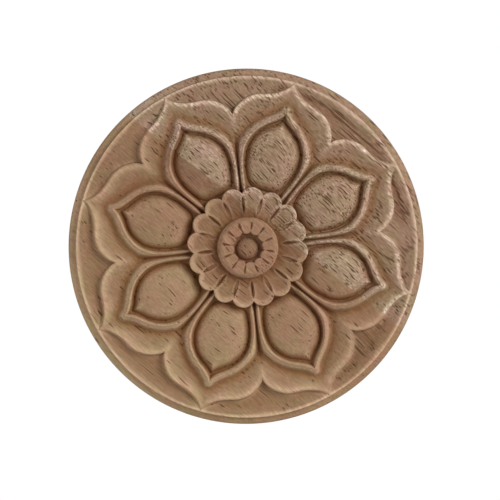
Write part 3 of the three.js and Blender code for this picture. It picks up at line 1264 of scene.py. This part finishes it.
@dataclass(frozen=True)
class BareWood:
    """Bare rubberwood in two boards glued edge to edge, carved across the glue line."""

    grain_angle: float = math.radians(-43)
    glue_line: GlueLine = GlueLine()
    upper: Tone = (0.296, 0.184, 0.109)
    upper_ground: Tone = (0.343, 0.213, 0.133)
    streak: Tone = (0.285, 0.148, 0.088)
    reddish: Tone = (0.274, 0.147, 0.073)
    golden: Tone = (0.335, 0.2, 0.1)
    lower_ground: Tone = (0.83, 0.74, 0.63)
    right_ground: Tone = (0.76, 0.68, 0.58)
    upper_beside: Tone = (1.18, 1.28, 1.4)
    lower_beside: Tone = (0.72, 0.62, 0.58)
    # Darker inside the ring.
    darker_inside_ring: Tone = (0.93, 0.88, 0.86)
    button: Tone = (0.79, 0.7, 0.65)
    boss: Tone = (1.03, 0.96, 0.98)
    # Painted light: the outward-facing ledge is made paler, and paler still on its left side, as
    # side light would make it.
    ledge: Tone = (1.32, 1.35, 1.4)
    left_ledge_painted_light: Tone = (1.32, 1.44, 1.6)
    band: Tone = (0.22, 0.12, 0.065)
    pore: Tone = (0.085, 0.029, 0.005)
    fibre: Tone = (0.52, 0.36, 0.24)
    # Painted shade in hollows and painted highlights on crests, as powers for each channel.
    painted_shade_tone: Tone = (0.22, 0.46, 0.76)
    painted_highlight_tone: Tone = (0.58, 0.68, 0.82)
    speck_tone: Tone = (0.85, 1.05, 1.3)
    pinkish: Tone = (1.05, 0.97, 1.03)
    olive: Tone = (0.96, 1.035, 0.93)
    roughness: float = 0.66
    specular: float = 0.25
    pore_depth: float = 0.88
    bump: float = 0.6
    bump_height: float = 0.15

    @staticmethod
    def vessels() -> bpy.types.NodeTree:
        """Builds the group that marks open vessels: long thin hollows along the grain.

        Returns:
            The group, which puts out a mask.
        """
        names = ("Across", "Along", "Radius", "Share")
        inputs = {"Vector": "NodeSocketVector"} | {name: "NodeSocketFloat" for name in names}
        tree = shader_group("vessels", inputs, {"Mask": "NodeSocketFloat"})
        graph = Graph(tree)
        given = tree.nodes["Group Input"].outputs
        cell = {"X": given["Along"], "Y": given["Across"], "Z": given["Across"]}
        cell = graph.add("ShaderNodeCombineXYZ", cell).outputs[0]
        place = graph.vector("DIVIDE", given["Vector"], cell)
        cells = graph.add("ShaderNodeTexVoronoi", {"Vector": place, "Scale": 1.0})
        chance = graph.add("ShaderNodeSeparateColor", {"Color": cells.outputs["Color"]}).outputs
        reach = graph.product(given["Radius"], graph.scaled(chance[1], 0.6, 0.5))
        near = graph.math("DIVIDE", cells.outputs["Distance"], reach)
        shown = graph.math("LESS_THAN", chance[0], given["Share"])
        mask = graph.product(graph.ramp(near, 1.1, 0.8), shown)
        graph.put(tree.nodes["Group Output"].inputs["Mask"], mask)
        return tree

    def board_colours(self, wood: WoodGraph) -> bpy.types.NodeSocket:
        """The two boards' own colours, with the streak in one and the redder wood of the other.

        Args:
            wood: The wood's nodes.

        Returns:
            The colour.
        """
        upper = wood.blend(wood.ground, self.upper, self.upper_ground)
        upper = wood.blend(wood.product(wood.streak(), wood.ground), upper, self.streak)
        inwards = wood.ramp(wood.math("ADD", wood.beyond, wood.cloudy), -18, -36)
        lower = wood.blend(inwards, self.reddish, self.golden)
        darker = wood.tinted(lower, self.lower_ground)
        lower = wood.blend(wood.product(wood.ground, inwards), lower, darker)
        return wood.blend(wood.upper, lower, upper)

    def beside_joint(self, wood: WoodGraph) -> bpy.types.NodeSocket:
        """The tone beside the glue line: paler in the upper board, darker in the lower.

        Args:
            wood: The wood's nodes.

        Returns:
            What to multiply the colour by.
        """
        high = wood.ramp(wood.level, 9.0, 10.0)
        pale = wood.math("MAXIMUM", high, wood.product(wood.ground, 0.9))
        pale = wood.product(wood.scaled(pale, 0.75, 0.25), wood.ramp(wood.beyond, 15.0, 6.0))
        pale = wood.product(pale, wood.scaled(wood.ramp(wood.radius, 17.0, 21.0), 0.5, 0.5))
        upper = wood.blend(pale, PLAIN, self.upper_beside)
        dark = wood.product(wood.ramp(wood.beyond, -7.0, -3.0), wood.ramp(wood.level, 7.4, 9.0))
        left = wood.product(wood.ramp(wood.radius, 9.5, 12.0), wood.ramp(wood.across, 44.0, -6.0))
        lower = wood.blend(wood.product(dark, left), PLAIN, self.lower_beside)
        redder = wood.blend(wood.lower_right(), PLAIN, self.right_ground)
        return wood.blend(wood.upper, wood.tinted(lower, redder), upper)

    def by_radius(self, wood: WoodGraph) -> bpy.types.NodeSocket:
        """The tone of the ring, the boss, the button and the ledge, with painted light on the
        ledge, more on its left side.

        Args:
            wood: The wood's nodes.

        Returns:
            What to multiply the colour by.
        """
        ring = wood.blend(wood.ramp(wood.radius, 20.0, 18.6), PLAIN, self.darker_inside_ring)
        boss = wood.blend(wood.ramp(wood.radius, 4.8, 4.2), self.boss, self.button)
        boss = wood.blend(wood.ramp(wood.radius, 10.6, 10.0), PLAIN, boss)
        left = wood.blend(wood.ramp(wood.across, -8.0, -42.0), PLAIN, self.left_ledge_painted_light)
        ledge = wood.tinted(self.ledge, left)
        return wood.blend(wood.ramp(wood.radius, 57.4, 57.8), wood.tinted(ring, boss), ledge)

    def figured(
        self, wood: WoodGraph, colour: bpy.types.NodeSocket, fibres: bpy.types.NodeSocket
    ) -> bpy.types.NodeSocket:
        """Adds the wood's figure: patches of hue, bands, fibres, veins and coarse streaks.

        Args:
            wood: The wood's nodes.
            colour: The colour so far.
            fibres: The fine fibres, from 0 to 1.

        Returns:
            The figured colour.
        """
        hue = wood.ramp(wood.noise(wood.place, 0.14, 3.0, 0.6), 0.35, 0.65)
        colour = wood.tinted(colour, wood.blend(hue, self.pinkish, self.olive))
        bands = wood.ramp(wood.noise(wood.stretched(120, 9, 5), 1.0, 3.0), 0.42, 0.72)
        colour = wood.blend(wood.product(bands, 0.3), colour, self.band)
        fine = wood.product(wood.ramp(fibres, 0.3, 0.7), 0.3)
        colour = wood.blend(fine, colour, self.fibre)
        veins = wood.math("SUBTRACT", wood.noise(wood.stretched(45, 3, 1.3), 1.0, 1.0), 0.5)
        veins = wood.ramp(wood.math("ABSOLUTE", veins), 0.11, 0.055)
        broken = wood.ramp(wood.noise(wood.stretched(16, 2, 1.5), 1.0, 1.0), 0.42, 0.55)
        few = wood.ramp(wood.noise(wood.stretched(40, 4, 2.2), 1.0, 0.0), 0.5, 0.58)
        few = wood.product(few, wood.lower_right(), wood.lower)
        veined = wood.math("ADD", wood.product(wood.streak(), wood.upper, wood.ground), few)
        colour = wood.blend(wood.product(veins, broken, veined, 0.8), colour, self.pore)
        coarse = wood.ramp(wood.noise(wood.stretched(9, 0.6, 0.5), 1.0, 2.0), 0.5, 0.75)
        return wood.blend(wood.product(coarse, 0.4), colour, self.band)

    def pores(self, wood: WoodGraph) -> bpy.types.NodeSocket:
        """Where the open vessels are: short ones all over, long ones in the ground.

        Args:
            wood: The wood's nodes.

        Returns:
            A mask.
        """
        patches = wood.ramp(wood.noise(wood.stretched(60, 5, 4), 1.0, 1.0), 0.3, 0.7)
        density = wood.scaled(patches, 0.6, 0.4)
        domes = wood.scaled(wood.ramp(wood.level, 9.7, 10.4), 0.7, 0.55)
        density = wood.product(density, domes, wood.scaled(wood.ground, -0.6, 1.0))
        end = wood.product(wood.ramp(wood.beyond, 12.0, 5.0), wood.ramp(wood.radius, 44.0, 48.0))
        density = wood.product(density, wood.scaled(end, -0.75, 1.0))
        group = self.vessels()
        masks = []
        for kind in Vessel:
            upper, lower = kind.shares
            share = wood.scaled(wood.upper, upper, wood.product(wood.lower, lower))
            share = wood.product(share, density if kind is Vessel.SHORT else wood.ground)
            inputs = {"Vector": wood.grain, "Share": share}
            node = wood.add("ShaderNodeGroup", node_tree=group)
            for label, value in (inputs | kind.sizes).items():
                wood.put(node.inputs[label], value)
            masks.append(node.outputs["Mask"])
        return wood.math("MAXIMUM", *masks)

    def painted_light_and_fuzz_tone(self, wood: WoodGraph, fuzz: bpy.types.NodeSocket) -> bpy.types.NodeSocket:
        """The tone of the relief: painted shade in hollows, painted highlights on crests, and
        specks of loose fibre.

        Args:
            wood: The wood's nodes.
            fuzz: The loose fibres, from 0 to 1.

        Returns:
            What to multiply the colour by.
        """
        painted_light_and_shade = wood.add("ShaderNodeAttribute", attribute_name=PaintedLightByHeight.MARK).outputs["Fac"]
        above = wood.math("MAXIMUM", painted_light_and_shade, 0.0)
        below = wood.math("MINIMUM", painted_light_and_shade, 0.0)
        loose = wood.product(wood.math("MINIMUM", above, 0.8), wood.ramp(wood.radius, 56.5, 54.5))
        loose = wood.scaled(wood.math("ADD", loose, 0.35), wood.upper, 0.42)
        speck = wood.product(wood.scaled(fuzz, 2.0, -1.0), loose)
        powers = {}
        for axis, *tones in zip("XYZ", self.painted_highlight_tone, self.painted_shade_tone, self.speck_tone):
            crest, hollow, grit = tones
            tone = wood.scaled(below, hollow, wood.product(speck, grit))
            powers[axis] = wood.math("EXPONENT", wood.scaled(above, crest, tone))
        return wood.add("ShaderNodeCombineXYZ", powers).outputs[0]

    def material(self) -> bpy.types.Material:
        """Builds the wood's material on the object's own coordinates.

        Returns:
            The material.
        """
        material = bpy.data.materials.new("bare_wood")
        material.use_nodes = True
        material.node_tree.nodes.clear()
        wood = WoodGraph(material.node_tree, self.glue_line, self.grain_angle)
        fibres = wood.noise(wood.stretched(14, 0.5, 0.32), 1.0, 3.0, 0.6)
        fuzz = wood.noise(wood.stretched(1.9, 0.45, 0.38), 1.0, 2.0, 0.7)
        pores = self.pores(wood)
        colour = wood.tinted(self.board_colours(wood), self.beside_joint(wood))
        colour = self.figured(wood, wood.tinted(colour, self.by_radius(wood)), fibres)
        colour = wood.blend(wood.product(pores, self.pore_depth), colour, self.pore)
        # Painted light and shade from the relief, and the specks of loose fibre.
        colour = wood.vector("MULTIPLY", colour, self.painted_light_and_fuzz_tone(wood, fuzz))
        height = wood.math("ADD", wood.product(fibres, 0.6), wood.product(fuzz, 0.6))
        height = wood.math("SUBTRACT", height, wood.product(pores, 1.6))
        bump = {"Height": height, "Strength": self.bump, "Distance": self.bump_height * MM}
        shader = {
            "Base Color": colour,
            "Roughness": wood.math("ADD", wood.product(fibres, 0.2), self.roughness),
            "Normal": wood.add("ShaderNodeBump", bump).outputs[0],
            "Specular IOR Level": self.specular,
        }
        surface = wood.add("ShaderNodeBsdfPrincipled", shader).outputs[0]
        wood.add("ShaderNodeOutputMaterial", {"Surface": surface})
        return material


@dataclass(frozen=True)
class Lamp:
    """One soft light that looks at the rosette. The bearing is clockwise from straight up."""

    bearing: float
    tilt: float
    power: float
    size: float = 700.0
    distance: float = 1200.0

    def place(self) -> Vector:
        """Where it stands: tilted away from square on, on its bearing.

        Returns:
            Its place, in metres.
        """
        bearing, tilt = math.radians(self.bearing), math.radians(self.tilt)
        out = math.sin(tilt)
        away = Vector((out * math.sin(bearing), -math.cos(tilt), out * math.cos(bearing)))
        return away * self.distance * MM


@dataclass
class Studio:
    """The pale floor, the soft light and the camera square on the carved face."""

    relief: Relief
    floor_level: float = -160.0
    floor_size: float = 1600.0
    azimuth: float = math.radians(-3)
    elevation: float = math.radians(2.5)
    camera_distance: float = 1000.0
    picture_width: float = 169.0
    off_centre: tuple[float, float] = (1.2, -1.2)
    sky: float = 0.14
    backdrop: float = 1.02

    LAMPS = {
        "key": Lamp(bearing=62, tilt=48, power=11),
        "left": Lamp(bearing=270, tilt=58, power=5.0),
        "low": Lamp(bearing=170, tilt=50, power=2.4, distance=700.0, size=400.0),
    }

    def floor(self) -> None:
        """Lays a plain pale floor below the rosette, which hangs clear of it."""
        bpy.ops.object.select_all(action="DESELECT")
        place = (0, -0.4 * self.floor_size * MM / 2, self.floor_level * MM)
        bpy.ops.mesh.primitive_plane_add(size=self.floor_size * MM, location=place)
        floor = bpy.context.active_object
        floor.name = "floor"
        paint = bpy.data.materials.new("pale_floor")
        paint.use_nodes = True
        shader = paint.node_tree.nodes["Principled BSDF"]
        shader.inputs["Base Color"].default_value = (0.86, 0.86, 0.86, 1)
        shader.inputs["Roughness"].default_value = 0.7
        floor.data.materials.append(paint)

    def world(self) -> None:
        """Makes the backdrop white, and its light on the object softer than it looks."""
        world = bpy.data.worlds.new("studio")
        bpy.context.scene.world = world
        world.use_nodes = True
        graph = Graph(world.node_tree)
        world.node_tree.nodes.clear()
        seen = graph.add("ShaderNodeLightPath").outputs["Is Camera Ray"]
        strength = graph.scaled(seen, self.backdrop - self.sky, self.sky)
        light = graph.add("ShaderNodeBackground", {"Color": PLAIN, "Strength": strength})
        graph.add("ShaderNodeOutputWorld", {"Surface": light.outputs[0]})

    def lamps(self) -> None:
        """Sets up the square soft lights."""
        for name, lamp in self.LAMPS.items():
            light = bpy.data.lights.new(name, "AREA")
            light.size = lamp.size * MM
            light.energy = lamp.power
            stand = bpy.data.objects.new(name, light)
            stand.location = lamp.place()
            stand.rotation_euler = (-stand.location).to_track_quat("-Z", "Y").to_euler()
            stand.visible_camera = False
            bpy.context.scene.collection.objects.link(stand)

    def camera(self) -> None:
        """Sets up the long lens a little to the left of and above square on."""
        settings = bpy.data.cameras.new("camera")
        settings.sensor_width = 36
        settings.lens = settings.sensor_width * self.camera_distance / self.picture_width
        settings.clip_start = 0.01
        camera = bpy.data.objects.new("camera", settings)
        across, up = self.off_centre
        aim = Vector((across, -self.relief.side / 2, up)) * MM
        level = math.cos(self.elevation)
        out = (math.sin(self.azimuth) * level, -math.cos(self.azimuth) * level)
        away = Vector((*out, math.sin(self.elevation)))
        camera.location = aim + away * self.camera_distance * MM
        camera.rotation_euler = (-away).to_track_quat("-Z", "Y").to_euler()
        bpy.context.scene.collection.objects.link(camera)
        bpy.context.scene.camera = camera

    def build(self) -> None:
        """Sets up everything around the object."""
        self.floor()
        self.world()
        self.lamps()
        self.camera()
        bpy.context.scene.view_settings.view_transform = "Standard"


def main() -> None:
    """Builds the rosette and its studio, and reports each piece."""
    logging.basicConfig(level=logging.INFO, format="%(message)s")
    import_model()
    relief = Relief.from_frame(NODE)
    rosette = Rosette(relief).build()
    rosette.data.materials.clear()
    rosette.data.materials.append(BareWood().material())
    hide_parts(NODE)
    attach(rosette, BODY)
    LOG.info("rosette: %d faces", len(rosette.data.polygons))
    Studio(relief).build()


if __name__ == "__main__":
    main()
